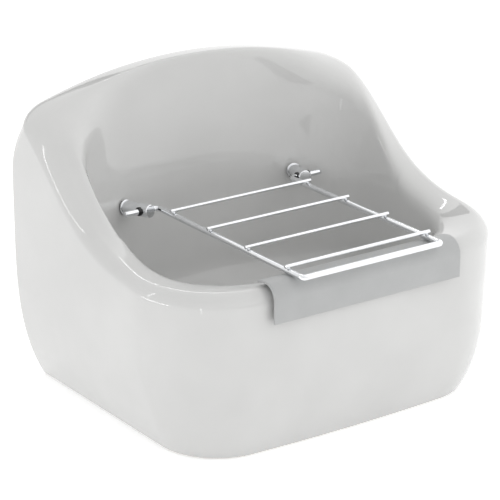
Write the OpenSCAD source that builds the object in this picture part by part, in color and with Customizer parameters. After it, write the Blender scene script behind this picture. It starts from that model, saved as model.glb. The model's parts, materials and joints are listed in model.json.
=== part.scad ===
// Wall-hung slop sink with a hinged bucket grid, a rim guard and a strainer waste.
// Heights are measured from the flat base, depths from the wall plane, and in_frame()
// moves the origin to the middle of the two wall fixing holes on the wall plane.

/* [Bowl] */
// Widest width of the ceramic body
body_w = 480; // [440:1:580]
// Width of the flat base
base_w = 412; // [380:1:440]
// Height of the splashback at its middle
body_h = 372.4; // [340:1:450]
// Depth of the body at the front rim
body_d = 367.6; // [340:1:445]
// Depth of the flat base
base_d = 342; // [300:1:345]
// Height of the front rim
rim_h = 202; // [185:1:230]
// Thickness of the ceramic skins
wall = 11; // [8:0.5:13]
// Width of the rim on each side, measured at the inner wall
rim_side_w = 47.7; // [44:0.1:56]
// Width of the front rim, measured at the inner wall
rim_front_w = 40; // [34:0.1:50]
// Distance from the wall plane to the middle of the splashback, at the hinge
splash_d = 43; // [38:0.5:52]
// Height of the bowl's floor at the waste
floor_h = 60; // [55:1:80]

/* [Rim guard] */
// Length of the guard along the rim
guard_w = 260.6; // [200:1:280]
// Thickness of the guard's sheet
guard_t = 3; // [2:0.5:4]
// How far the guard's lower edge hangs below its top
guard_drop = 45.4; // [40:1:60]
// Radius of the guard's outer bend
guard_r = 19; // [16:1:22]

/* [Bucket grid] */
// Diameter of the frame's rod
rod_d = 7; // [5:0.5:8]
// Diameter of the cross rods
cross_d = 4.5; // [3:0.5:6]
// Distance between the centre lines of the two side rods
grid_w = 193.4; // [160:1:200]
// Distance between neighbouring cross rods
cross_pitch = 75.6; // [50:0.1:80]
// How far the cross rods stand out past the side rods' centre lines
cross_over = 4.6; // [3:0.1:8]

/* [Hinge posts] */
// Diameter of a post
post_d = 16; // [15:0.5:20]
// Distance of the pin's axis from the wall plane
pin_y = 90.3; // [86:0.1:100]
// Distance from a side rod to the middle of its post, along the pin
post_gap = 18.2; // [17.5:0.1:24]
// How far the pin stands out past the middle of its post
pin_out = 27.4; // [20:0.1:34]
// Angle by which a post points inwards
post_toe = 14.9; // [5:0.1:20]
// Angle by which a post points upwards
post_rise = 4.6; // [0:0.1:8]
// Diameter of the stud that holds a post
stud_d = 8; // [6:1:8]

/* [Waste] */
// Diameter of the waste hole in the ceramic
waste_hole_d = 52; // [50:1:60]
// Diameter of the waste's thread
tail_d = 47.8; // [46:0.1:49]
// Diameter of the plain outlet below the thread
outlet_d = 43; // [40:0.1:44]
// Diameter of the waste's flange
flange_d = 70; // [66:1:80]

/* [Wall fixing] */
// Distance between the two fixing holes
fix_w = 280; // [240:1:300]
// Diameter of a fixing hole
fix_d = 14; // [10:1:16]
// Height of the fixing holes above the base
fix_h = 140; // [130:1:150]

/* [Clearances] */
// Radial running clearance of the pin in its bush
run_gap = 0.08; // [0.02:0.01:0.1]
// Gap between pieces that rest on each other
seat_gap = 0.3; // [0.1:0.05:0.4]
// Radial clearance of a fixed piece in its hole
fit_gap = 0.1; // [0.05:0.05:0.3]

/* [Hidden] */
$fn = 48;

// ---- Outer form of the ceramic ----
flare_p = 3.2;          // how sharply the base tucks in
draw_in = 45;           // how far the sides draw in towards the crown
draw_p = 6.3;
crown_2 = 7.2;          // drop of the crown at 100 mm from the middle
crown_4 = 0.24;
front_bow = 3.5;        // bulge of the front between its corners
front_zone = 162.6;     // from the bowl's widest line to the front face
base_corner_r = 76;     // front corners at the base
rim_corner_r = 109;     // front corners at the rim
corner_grow_h = 130;    // height at which the corner reaches its rim radius
top_corner_r = 31;      // back corners at the crown
top_corner_from = 122;  // the back corners start to round this far below the crown
top_corner_over = 70;   // and are round after this height
arm_y = 88;             // where the arms sweep down, from the wall plane
arm_s = 25.7;           // how gently they sweep
arm_p = 0.51;
mid_y = front_zone - body_d;

// ---- Rim ----
crest_back = 23.8;      // from the outer face in to the crest: back, sides, front, back corners
crest_side = 16.4;
crest_front = 20;
crest_corner = 30.6;
round_back = 2;         // height of the outer rounding: back, sides, front
round_side = 17.4;
round_front = 18;
roll_back = 44;         // height of the roll from the crest into the bowl
roll_side = 27;
roll_front = 35.5;
reach_back = 0.6;       // fullness of the roll at the crest: back, sides, front
reach_side = 0.7;
reach_front = 0.8;
drop_back = 0.65;       // fullness of the roll at its foot: back, sides, front
drop_side = 0.75;
drop_front = 0.85;
rim_fall = 0.1;

// ---- Inside of the bowl ----
inner_draft = 0.09;     // inward lean of the side walls
front_draft = 0.12;
wing_flare = 20;        // how far the wings flare above the rim
wing_h = 80;
back_n = 4;             // squareness of the inner back and front corners
front_n = 2.6;
back_sag = 20;          // hollow of the inner back wall
lean_1 = 0.08;          // backward lean of the splashback
lean_2 = 0.00035;
floor_r = 55;           // fillet between the walls and the floor
floor_fall = 10;        // fall of the floor towards the waste
waste_y = 190;          // waste centre from the wall plane
pad_r = 44;             // flat pad round the waste
core_r = 15;            // inner ring of the ceramic, cut away by the waste hole
cap_h = 18;             // solid height of the rim above the hollow

// ---- Guard, grid and hinge ----
guard_stand = 5;        // from the front crest to the guard's underside
guard_face = 6;         // from the ceramic's front face to the guard's front face
guard_y = body_d + guard_face;
guard_tail_r = 35;
guard_tail_a = 25;
bar_out = 4.9;          // the front bar's centre line, in front of the guard's face
bar_y = guard_y + bar_out;
bend_r = 8;
corner_r = 3.9;
first_cross = 34.8;     // from the pin to the first cross rod
weld_gap = 0.05;
cross_z = (rod_d + cross_d) / 2 + weld_gap;
side_x = grid_w / 2;
post_x = side_x + post_gap;
post_front = 9.9;       // from the pin's axis to the post's front end
bush_wall = 1.6;
bush_proud = 0.8;       // how far a bush stands out of its post
ring_t = 2.5;
ring_over = 1.2;
gasket_t = 1;
stud_in = 14;
stud_spare = 0.5;       // depth of a post's bore past its stud
stud_room = 1;          // radial room round a stud in the ceramic
collar_wall = 2;        // the post's foot inside its base ring
rear_gasket_t = 2;
rear_washer_t = 1.6;
nut_t = 6.5;
nut_af = 13;
stud_end = 3;
seat_slack = 1.4;       // room for the hollow of the wall under a gasket

// ---- Waste ----
seal_t = 3;
seal_in = 2;            // how far the top seal sits in from the flange's edge
seal_out = 1;           // how far the under seal stands out past it
flange_t = 4;
under_t = 5;
backnut_t = 12;
backnut_d = 78;
tail_wall = 2.6;
outlet_wall = 2.3;
outlet_l = 20;
outlet_end = 8;         // the outlet's lower end above the base
shoulder_t = 3;         // metal over the step from the thread's bore to the outlet's
flange_slope = 3;       // how far the flange's rim slopes in
flange_rim = 6;         // width of the rim round the strainer
strainer_t = 2;
screw_l = 16;
screw_head_h = 2.5;
screw_slope = 1.5;
screw_slot_w = 1.4;
screw_slot_h = 1.2;
floor_t = 12;
floor_seat = 4;         // how much wider the flat under the floor is than its pad

// ---- Mesh of the bowl ----
u_back = 15;            // steps from the middle of the back to its corner
u_side = 14;
u_front = 15;
steps_outer = 11;
steps_round = 4;
steps_roll = 8;
steps_inner = 7;
steps_fillet = 5;
steps_hidden = 7;
solve_steps = 12;
eps = 0.01;
past = 1;               // how far a cutting shape runs past what it cuts

function clamp01(t) = min(1, max(0, t));
function smooth(t) = let (c = clamp01(t)) c * c * (3 - 2 * c);
function mix(a, b, t) = a + (b - a) * t;

// Half width and depth of the outer form at a height
function half_w(h) = body_w / 2
  - (body_w - base_w) / 2 * pow(clamp01(1 - h / rim_h), flare_p)
  - draw_in * pow(clamp01((h - rim_h) / (body_h - rim_h)), draw_p);
function depth_at(h) = body_d - (body_d - base_d) * pow(clamp01(1 - h / rim_h), flare_p);
function corner_at(h) = mix(base_corner_r, rim_corner_r, smooth(h / corner_grow_h));
function back_corner_at(h) =
  eps + top_corner_r * pow(clamp01((h - body_h + top_corner_from) / top_corner_over), 2);

// Where a ray from the centre of a rounded rectangle meets its edge
function round_rect(a, b, r, s, c) =
  let (dx = s * a, dy = c * b, l = norm([dx, dy]), ux = dx / l, uy = dy / l)
  let (ta = ux > eps * eps ? a / ux : 1e6, tb = uy > eps * eps ? b / uy : 1e6)
  let (px = a - r, py = b - r, along = ux * px + uy * py)
  let (tc = along + sqrt(max(0, along * along - px * px - py * py + r * r)))
  let (t = uy * ta <= py ? ta : ux * tb <= px ? tb : tc)
  [t * ux, t * uy];

// Where it meets a squarish oval of exponent n
function oval(a, b, n, s, c) =
  let (k = pow(pow(s, n) + pow(c, n), -1 / n))
  [a * k * s, b * k * c];

// Outer face on the +X side: p runs from 0 at the back to 180 at the front
function outer_point(p, h, inset = 0) =
  let (a = half_w(h) - inset, s = sin(p), c = abs(cos(p)))
  let (f = depth_at(h) - front_bow + mid_y - inset, r = corner_at(h) - inset)
  p <= 90
  ? let (q = round_rect(a, -mid_y - inset, max(eps, back_corner_at(h) - inset), s, c))
    [q[0], mid_y + q[1], h]
  : let (q = round_rect(a, f, r, s, c), flat = clamp01(1 - pow(min(q[0], a - r) / (a - r), 2)))
    [q[0], mid_y - q[1] - front_bow * flat * pow(clamp01(q[1] / f), 6), h];

// Inner face on the +X side
function inner_a(h, grow) = grow + body_w / 2 - rim_side_w
  - inner_draft * max(0, rim_h - h) + wing_flare * clamp01((h - rim_h) / wing_h);
function inner_back(h, grow) = grow - splash_d
  + lean_1 * (h - pin_h) + lean_2 * pow(max(0, h - pin_h), 2);
function inner_point(p, h, grow = 0) =
  let (s = sin(p), c = abs(cos(p)), a = inner_a(h, grow), back = inner_back(h, grow))
  let (front = body_d - rim_front_w - front_draft * max(0, rim_h - h) + grow)
  p <= 90
  ? let (q = oval(a, back - mid_y, back_n, s, c))
    [q[0], mid_y + q[1] - back_sag * pow(q[0] / a, 2) * q[1] / (back - mid_y), h]
  : let (q = oval(a, front + mid_y, front_n, s, c))
    [q[0], mid_y - q[1], h];

// A size of the rim that changes from the back to the sides and the front
function around(p, back, side, front) =
  side + (back - side) * smooth((70 - p) / 45) + (front - side) * smooth((p - 115) / 40);
function corner_bump(p) = exp(-pow((p - 45) / 14, 2));
function crest_in(p) =
  let (e = around(p, crest_back, crest_side, crest_front))
  mix(e, crest_corner, corner_bump(p));

// Height of the crest at a place in plan
function arm_share(y) = pow(1 / (1 + exp((-y - arm_y) / arm_s)), arm_p);
function crown(x) = body_h - crown_2 * pow(x / 100, 2) - crown_4 * pow(x / 100, 4);
function crest_h(x, y) = mix(rim_h, crown(x), min(1, arm_share(y) / arm_share(-crest_back)));
function crest_point(p, h, n = solve_steps) =
  let (o = outer_point(p, h - around(p, round_back, round_side, round_front)))
  let (i = inner_point(p, h - around(p, roll_back, roll_side, roll_front)))
  let (l = norm([i[0] - o[0], i[1] - o[1]]), k = crest_in(p) / l)
  let (x = mix(o[0], i[0], k), y = mix(o[1], i[1], k), z = crest_h(x, y))
  n == 0 ? [x, y, z] : crest_point(p, z, n - 1);

// Place along a post where it meets the splashback, or the back of its skin with grow = wall
function splash_y(x, h, grow) =
  let (a = inner_a(h, grow), b = inner_back(h, grow) - mid_y)
  let (q = b * pow(1 - pow(x / a, back_n), 1 / back_n))
  mid_y + q - back_sag * pow(x / a, 2) * q / b;
function along_post(grow, z = 0, n = solve_steps) =
  let (x = post_x - z * cos(post_rise) * sin(post_toe), h = pin_h + z * sin(post_rise))
  n == 0 ? z : along_post(grow, -(splash_y(x, h, grow) + pin_y) / cos(post_rise) / cos(post_toe), n - 1);

front_crest = crest_h(0, crest_front - body_d);
guard_top = front_crest + guard_stand + guard_t;
pin_h = guard_top + seat_gap + rod_d / 2;

function bezier(a, b, c, d, t) =
  pow(1 - t, 3) * a + 3 * pow(1 - t, 2) * t * b + 3 * (1 - t) * t * t * c + t * t * t * d;

// One closed section through the ceramic, from the base's outer edge and round
function section(p) =
  let (crest = crest_point(p, p < 90 ? body_h : rim_h), z = crest[2])
  let (round = around(p, round_back, round_side, round_front))
  let (roll = around(p, roll_back, roll_side, roll_front))
  let (o = outer_point(p, z - round), i = inner_point(p, z - roll), i2 = inner_point(p, z - roll - 1))
  let (in = [i[0] - crest[0], i[1] - crest[1], 0], up = (i - i2) / norm(i - i2))
  let (reach = around(p, reach_back, reach_side, reach_front))
  let (drop = around(p, drop_back, drop_side, drop_front))
  let (b = crest + reach * (in - [0, 0, norm(in) * rim_fall]), c = i + up * roll * drop)
  let (foot = floor_h + floor_fall + floor_r, w = [0, -waste_y, 0], ceil = z - roll - cap_h)
  [
    for (k = [0 : steps_outer - 1]) outer_point(p, (z - round) * k / steps_outer),
    for (k = [0 : steps_round - 1])
      let (t = 90 * k / steps_round, f = 1 - cos(t))
      [mix(o[0], crest[0], f), mix(o[1], crest[1], f), mix(o[2], z, sin(t))],
    for (k = [0 : steps_roll - 1]) bezier(crest, b, c, i, k / steps_roll),
    for (k = [0 : steps_inner - 1]) inner_point(p, mix(z - roll, foot, k / steps_inner)),
    for (k = [0 : steps_fillet]) floor_point(p, 90 * k / steps_fillet, 0),
    floor_ring(p, pad_r, floor_h),
    floor_ring(p, core_r, floor_h),
    floor_ring(p, core_r, floor_h - floor_t),
    floor_ring(p, pad_r + floor_seat, floor_h - floor_t),
    for (k = [steps_fillet : -1 : 0]) floor_point(p, 90 * k / steps_fillet, wall),
    for (k = [1 : steps_hidden]) inner_point(p, mix(foot, ceil, k / steps_hidden), wall),
    for (k = [0 : steps_hidden]) outer_point(p, mix(ceil, 0, k / steps_hidden), wall)
  ];

// Fillet from the wall to the floor, at angle t, moved out and down by grow
function floor_point(p, t, grow) =
  let (foot = floor_h + floor_fall + floor_r, r = floor_r + grow)
  let (q = inner_point(p, foot, grow), in = r * (1 - cos(t)), l = norm([q[0], q[1] + waste_y]))
  [mix(q[0], 0, in / l), mix(q[1], -waste_y, in / l), foot - r * sin(t)];
function floor_ring(p, r, h) =
  let (q = inner_point(p, floor_h + floor_fall + floor_r), l = norm([q[0], q[1] + waste_y]))
  [q[0] * r / l, -waste_y + (q[1] + waste_y) * r / l, h];

// Steps round the plan: half of it, then its mirror image
PLAN = concat(
  [for (k = [0 : u_back - 1]) 45 * k / u_back],
  [for (k = [0 : u_side - 1]) 45 + 60 * k / u_side],
  [for (k = [0 : u_front]) 105 + 75 * k / u_front]
);

module ceramic_skin() {
  right = [for (p = PLAN) section(p)];
  n = len(PLAN);
  rings = concat(right, [for (k = [n - 2 : -1 : 1]) [for (q = right[k]) [-q[0], q[1], q[2]]]]);
  nu = len(rings);
  nv = len(rings[0]);
  points = [for (ring = rings) each ring];
  faces = [
    for (u = [0 : nu - 1]) for (v = [0 : nv - 1])
      let (a = u * nv + v, b = ((u + 1) % nu) * nv + v)
      let (c = ((u + 1) % nu) * nv + (v + 1) % nv, d = u * nv + (v + 1) % nv)
      each (u < nu / 2 ? [[a, b, c], [a, c, d]] : [[a, b, d], [b, c, d]])
  ];
  polyhedron(points = points, faces = faces);
}

// ---- Placing ----
module in_frame() {
  translate([0, 0, -fix_h]) children();
}

// Local +Z runs along a post towards its front end, and z = 0 is the pin's axis
module at_post(side) {
  in_frame()
    translate([side * post_x, -pin_y, pin_h])
      rotate([90 - post_rise, 0, -side * post_toe])
        children();
}

module along_x(d, l, x = 0, y = 0, z = 0) {
  translate([x, y, z]) rotate([0, 90, 0]) cylinder(d = d, h = l, center = true);
}

post_back = along_post(0) + seat_slack + gasket_t;
post_l = post_front - post_back;
ring_z = post_back + ring_t;
rear_z = along_post(wall) - seat_slack;

// Openings in the rear panel
service_w = 92;
service_h = 74;
notch_w = 150;
notch_h = 92;
panel_cut = 2 * (wall + past);

module bowl() {
  color("white")
    difference() {
      in_frame() ceramic_skin();
      in_frame() translate([0, -waste_y, 0]) cylinder(d = waste_hole_d, h = floor_h + past, $fn = 64);
      for (side = [-1, 1]) {
        at_post(side)
          translate([0, 0, rear_z - seat_slack - past])
            cylinder(d = stud_d + 2 * stud_room, h = 2 * wall);
        in_frame()
          translate([side * fix_w / 2, 0, fix_h])
            rotate([90, 0, 0]) cylinder(d = fix_d, h = panel_cut, center = true);
        in_frame()
          translate([side * post_x, 0, pin_h])
            cube([service_w, panel_cut, service_h], center = true);
      }
      in_frame() cube([notch_w, panel_cut, 2 * notch_h], center = true);
    }
}

// ---- Rim guard ----
// Outline of the guard in depth (forward) and height, inset from its outer face
function guard_arc(inset) = concat(
  [[guard_y - inset, guard_top - guard_drop]],
  [for (t = [0 : 6 : 90])
    [guard_y - guard_r + (guard_r - inset) * cos(t), guard_top - guard_r + (guard_r - inset) * sin(t)]],
  [for (t = [5 : 5 : guard_tail_a])
    [guard_y - guard_r - (guard_tail_r - inset) * sin(t),
     guard_top - guard_tail_r + (guard_tail_r - inset) * cos(t)]]
);

module rim_guard() {
  outer = guard_arc(0);
  inner = guard_arc(guard_t);
  color("lightgray")
    in_frame()
      translate([guard_w / 2, 0, 0])
        rotate([90, 0, -90])
          linear_extrude(guard_w)
            polygon(concat(outer, [for (k = [len(inner) - 1 : -1 : 0]) inner[k]]));
}

cushion_w = 8;
cushion_end = 14;
module rim_cushion() {
  bend = guard_r - guard_t;
  sag = bend - sqrt(bend * bend - cushion_w * cushion_w / 4);
  color("dimgray")
    in_frame()
      translate([0, guard_r - guard_y, front_crest + seat_gap])
        translate([-guard_w / 2 + cushion_end, -cushion_w / 2, 0])
          cube([guard_w - 2 * cushion_end, cushion_w, guard_stand - 2 * seat_gap - sag]);
}

pad_x = 60;
pad_w = 70;
pad_h = 20;
pad_low = 3;
module guard_pad(side) {
  x0 = pad_x - pad_w / 2;
  x1 = pad_x + pad_w / 2;
  flat = body_w / 2 - rim_corner_r;
  back = [for (x = [x0 : pad_w / 4 : x1])
    [side * x, -body_d + front_bow * pow(x / flat, 2) - seat_gap]];
  color("dimgray")
    in_frame()
      translate([0, 0, guard_top - guard_drop + pad_low])
        linear_extrude(pad_h)
          polygon(concat(
            back,
            [[side * x1, -guard_y + guard_t + fit_gap], [side * x0, -guard_y + guard_t + fit_gap]]
          ));
}
module guard_pad_left() { guard_pad(-1); }
module guard_pad_right() { guard_pad(1); }

// ---- Bucket grid ----
module rod_bend(r, from) {
  rotate([0, 0, from]) rotate_extrude(angle = 90) translate([r, 0]) circle(d = rod_d);
}

module grid_frame() {
  side_l = bar_y - pin_y - bend_r - corner_r;
  pin_x0 = side_x + bend_r;
  pin_l = post_x + pin_out - pin_x0;
  color("silver")
    in_frame()
      translate([0, 0, pin_h]) {
        for (side = [-1, 1]) {
          translate([side * side_x, -pin_y - bend_r, 0])
            rotate([90, 0, 0]) cylinder(d = rod_d, h = side_l);
          along_x(rod_d, pin_l, x = side * (pin_x0 + pin_l / 2), y = -pin_y);
          translate([side * pin_x0, -pin_y - bend_r, 0]) rod_bend(bend_r, side > 0 ? 90 : 0);
          translate([side * (side_x - corner_r), -bar_y + corner_r, 0])
            rod_bend(corner_r, side > 0 ? 270 : 180);
        }
        along_x(rod_d, 2 * (side_x - corner_r), y = -bar_y);
      }
}

module cross_rod(k) {
  color("silver")
    in_frame()
      along_x(cross_d, 2 * (side_x + cross_over), y = -pin_y - first_cross - (k - 1) * cross_pitch,
              z = pin_h + cross_z);
}
module grid_rod_1() { cross_rod(1); }
module grid_rod_2() { cross_rod(2); }
module grid_rod_3() { cross_rod(3); }
module grid_rod_4() { cross_rod(4); }

// ---- Hinge posts and what holds them ----
bush_id = rod_d + 2 * run_gap;
bush_od = bush_id + 2 * bush_wall;
bush_l = post_d / cos(post_toe) + 2 * bush_proud;
post_chamfer = 0.8;

module hinge_post(side) {
  color("silver")
    difference() {
      at_post(side) {
        translate([0, 0, ring_z]) cylinder(d = post_d, h = post_l - ring_t - post_chamfer);
        translate([0, 0, post_front - post_chamfer])
          cylinder(d1 = post_d, d2 = post_d - 2 * post_chamfer, h = post_chamfer);
        translate([0, 0, post_back]) cylinder(d = stud_d + 2 * collar_wall, h = ring_t);
      }
      in_frame() along_x(bush_od + 2 * fit_gap, 2 * post_d, x = side * post_x, y = -pin_y, z = pin_h);
      at_post(side)
        translate([0, 0, post_back - past])
          cylinder(d = stud_d + 2 * fit_gap, h = stud_in + past + stud_spare);
    }
}
module hinge_post_left() { hinge_post(-1); }
module hinge_post_right() { hinge_post(1); }

module hinge_bush(side) {
  color("black")
    in_frame()
      difference() {
        along_x(bush_od, bush_l, x = side * post_x, y = -pin_y, z = pin_h);
        along_x(bush_id, 2 * bush_l, x = side * post_x, y = -pin_y, z = pin_h);
      }
}
module hinge_bush_left() { hinge_bush(-1); }
module hinge_bush_right() { hinge_bush(1); }

module disc(side, z, t, od, id, c) {
  color(c)
    at_post(side)
      translate([0, 0, z])
        difference() {
          cylinder(d = od, h = t);
          translate([0, 0, -past]) cylinder(d = id, h = t + 2 * past);
        }
}
ring_od = post_d + 2 * ring_over;
ring_id = stud_d + 2 * collar_wall + 2 * fit_gap;
stud_hole_d = stud_d + 2 * fit_gap;
module post_ring(side) { disc(side, post_back, ring_t - fit_gap, ring_od, ring_id, "silver"); }
module post_ring_left() { post_ring(-1); }
module post_ring_right() { post_ring(1); }

module post_gasket(side) {
  disc(side, post_back - gasket_t, gasket_t, post_d + ring_over, stud_hole_d, "gray");
}
module post_gasket_left() { post_gasket(-1); }
module post_gasket_right() { post_gasket(1); }

module post_stud(side) {
  stack = rear_gasket_t + rear_washer_t + nut_t + stud_end;
  color("gray")
    at_post(side)
      translate([0, 0, rear_z - stack]) cylinder(d = stud_d, h = post_back + stud_in - rear_z + stack);
}
module post_stud_left() { post_stud(-1); }
module post_stud_right() { post_stud(1); }

rear_gasket_d = 22;
rear_washer_d = 20;
module rear_gasket(side) {
  disc(side, rear_z - rear_gasket_t, rear_gasket_t, rear_gasket_d, stud_hole_d, "dimgray");
}
module rear_gasket_left() { rear_gasket(-1); }
module rear_gasket_right() { rear_gasket(1); }

module rear_washer(side) {
  disc(side, rear_z - rear_gasket_t - rear_washer_t, rear_washer_t, rear_washer_d, stud_hole_d, "gray");
}
module rear_washer_left() { rear_washer(-1); }
module rear_washer_right() { rear_washer(1); }

module rear_nut(side) {
  color("gray")
    at_post(side)
      translate([0, 0, rear_z - rear_gasket_t - rear_washer_t - nut_t])
        difference() {
          cylinder(d = nut_af / cos(30), h = nut_t, $fn = 6);
          translate([0, 0, -past]) cylinder(d = stud_hole_d, h = nut_t + 2 * past);
        }
}
module rear_nut_left() { rear_nut(-1); }
module rear_nut_right() { rear_nut(1); }

// ---- Waste ----
flange_h = floor_h + seal_t;
well_h = flange_h + 1;
module at_waste(h = 0) {
  in_frame() translate([0, -waste_y, h]) children();
}

well_d = flange_d - 2 * flange_rim;
module waste_body() {
  outlet_top = outlet_end + outlet_l;
  lead = (tail_d - outlet_d) / 2;
  color("silver")
    at_waste()
      difference() {
        union() {
          translate([0, 0, outlet_end]) cylinder(d = outlet_d, h = outlet_l + lead);
          translate([0, 0, outlet_top]) cylinder(d1 = outlet_d, d2 = tail_d, h = lead);
          translate([0, 0, outlet_top + lead])
            cylinder(d = tail_d, h = flange_h - outlet_top - lead + past);
          translate([0, 0, flange_h])
            cylinder(d1 = flange_d, d2 = flange_d - 2 * flange_slope, h = flange_t);
        }
        translate([0, 0, outlet_end - past])
          cylinder(d = outlet_d - 2 * outlet_wall, h = flange_h - outlet_end);
        translate([0, 0, outlet_top + shoulder_t])
          cylinder(d = tail_d - 2 * tail_wall, h = flange_h - outlet_top);
        translate([0, 0, well_h]) cylinder(d = well_d, h = flange_t);
      }
}

strainer_d = well_d - 2 * fit_gap;
strainer_rings = [[6, 9], [12, 16.5], [18, 23.5]];
slot_hole_d = 5;
screw_d = 5;
module waste_strainer() {
  color("silver")
    at_waste(well_h)
      difference() {
        cylinder(d = strainer_d, h = strainer_t);
        for (ring = strainer_rings)
          for (k = [0 : ring[0] - 1])
            rotate([0, 0, 360 * k / ring[0]])
              translate([ring[1], 0, -past])
                cylinder(d = slot_hole_d, h = strainer_t + 2 * past, $fn = 24);
        translate([0, 0, -past]) cylinder(d = screw_d + 2 * fit_gap, h = strainer_t + 2 * past);
      }
}

screw_head_d = 10;
module strainer_screw() {
  head = well_h + strainer_t;
  color("silver")
    at_waste()
      difference() {
        union() {
          translate([0, 0, head])
            cylinder(d1 = screw_head_d, d2 = screw_head_d - 2 * screw_slope, h = screw_head_h);
          translate([0, 0, head - screw_l]) cylinder(d = screw_d, h = screw_l);
        }
        translate([0, 0, head + screw_head_h])
          cube([2 * screw_head_d, screw_slot_w, 2 * screw_slot_h], center = true);
      }
}

module washer(h, t, od, id, c) {
  color(c)
    at_waste(h)
      difference() {
        cylinder(d = od, h = t);
        translate([0, 0, -past]) cylinder(d = id, h = t + 2 * past);
      }
}
top_seal_d = flange_d - 2 * seal_in;
under_seal_d = flange_d + 2 * seal_out;
thread_hole_d = tail_d + 2 * fit_gap;
module top_seal() { washer(floor_h, seal_t, top_seal_d, thread_hole_d, "dimgray"); }
module under_seal() {
  washer(floor_h - floor_t - under_t, under_t, under_seal_d, thread_hole_d, "dimgray");
}

nut_sides = 8;
nut_collar_t = 3;
nut_step = 3;           // how far the collar stands out past the octagon's corners
module waste_backnut() {
  color("gray")
    at_waste(floor_h - floor_t - under_t - backnut_t)
      difference() {
        union() {
          cylinder(d = backnut_d - 2 * nut_step, h = backnut_t, $fn = nut_sides);
          translate([0, 0, backnut_t - nut_collar_t]) cylinder(d = backnut_d, h = nut_collar_t);
        }
        translate([0, 0, -past]) cylinder(d = thread_hole_d, h = backnut_t + 2 * past);
      }
}

bowl();
rim_guard();
rim_cushion();
guard_pad_left();
guard_pad_right();
grid_frame();
grid_rod_1();
grid_rod_2();
grid_rod_3();
grid_rod_4();
hinge_post_left();
hinge_post_right();
hinge_bush_left();
hinge_bush_right();
post_ring_left();
post_ring_right();
post_gasket_left();
post_gasket_right();
post_stud_left();
post_stud_right();
rear_gasket_left();
rear_gasket_right();
rear_washer_left();
rear_washer_right();
rear_nut_left();
rear_nut_right();
waste_body();
waste_strainer();
strainer_screw();
top_seal();
under_seal();
waste_backnut();
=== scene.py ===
import json
import math

import bpy
import bmesh
import numpy as np
from mathutils import Matrix, Vector


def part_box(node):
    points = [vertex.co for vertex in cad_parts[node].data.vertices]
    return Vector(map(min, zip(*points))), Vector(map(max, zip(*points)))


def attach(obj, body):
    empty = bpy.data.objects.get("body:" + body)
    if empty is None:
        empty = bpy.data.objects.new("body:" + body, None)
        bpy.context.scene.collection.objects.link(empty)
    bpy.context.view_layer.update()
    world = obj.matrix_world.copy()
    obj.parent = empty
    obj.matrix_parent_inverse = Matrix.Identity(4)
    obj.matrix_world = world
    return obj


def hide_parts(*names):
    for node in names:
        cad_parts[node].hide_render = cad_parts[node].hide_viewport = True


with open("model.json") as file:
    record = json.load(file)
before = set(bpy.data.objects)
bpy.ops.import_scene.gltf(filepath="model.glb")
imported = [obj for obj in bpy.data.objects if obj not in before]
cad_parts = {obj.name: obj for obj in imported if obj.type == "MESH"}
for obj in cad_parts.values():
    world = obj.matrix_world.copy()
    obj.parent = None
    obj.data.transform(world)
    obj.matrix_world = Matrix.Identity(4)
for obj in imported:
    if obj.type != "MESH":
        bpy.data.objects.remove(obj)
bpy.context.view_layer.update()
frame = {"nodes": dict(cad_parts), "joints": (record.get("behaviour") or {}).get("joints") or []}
mm = 0.001
print("frame loaded")


# small helpers
def linear(hexColour):
    parts = [int(hexColour[k:k + 2], 16) / 255 for k in (1, 3, 5)]
    return tuple(c / 12.92 if c <= 0.04045 else ((c + 0.055) / 1.055) ** 2.4 for c in parts) + (1.0,)


def addNode(tree, kind, links=None, values=None, **settings):
    # links: input -> (node, output); values: input -> number or colour
    made = tree.nodes.new(kind)
    for key, value in settings.items():
        setattr(made, key, value)
    for key, value in (values or {}).items():
        made.inputs[key].default_value = value
    for key, source in (links or {}).items():
        tree.links.new(source[0].outputs[source[1]], made.inputs[key])
    return made


def newMaterial(name):
    made = bpy.data.materials.new(name)
    made.use_nodes = True
    tree = made.node_tree
    tree.nodes.clear()
    place = addNode(tree, "ShaderNodeTexCoord")
    shader = addNode(tree, "ShaderNodeBsdfPrincipled")
    addNode(tree, "ShaderNodeOutputMaterial", {"Surface": (shader, "BSDF")})
    return made, tree, place, shader


def noiseAt(tree, place, size, detail=3.0, rough=0.5, stretch=(1, 1, 1)):
    # size is the pattern's real grain in metres
    spread = addNode(tree, "ShaderNodeMapping", {"Vector": (place, "Object")}, {"Scale": stretch})
    return addNode(tree, "ShaderNodeTexNoise", {"Vector": (spread, "Vector")},
                   {"Scale": 1 / size, "Detail": detail, "Roughness": rough})


def blendOf(tree, source, low, high, start=0.3, end=0.7):
    # a colour ramp between two colours
    ramp = addNode(tree, "ShaderNodeValToRGB", {"Fac": (source, "Fac")})
    ramp.color_ramp.elements[0].position = start
    ramp.color_ramp.elements[1].position = end
    ramp.color_ramp.elements[0].color = low
    ramp.color_ramp.elements[1].color = high
    return ramp


def spanOf(tree, source, low, high):
    return addNode(tree, "ShaderNodeMapRange", {"Value": (source, "Fac")},
                   {"From Min": 0.3, "From Max": 0.7, "To Min": low, "To Max": high})


def bumpOf(tree, source, height, strength=1.0):
    return addNode(tree, "ShaderNodeBump", {"Height": (source, "Fac")},
                   {"Distance": height, "Strength": strength})


def wire(tree, source, output, shader, socket):
    tree.links.new(source.outputs[output], shader.inputs[socket])


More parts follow.
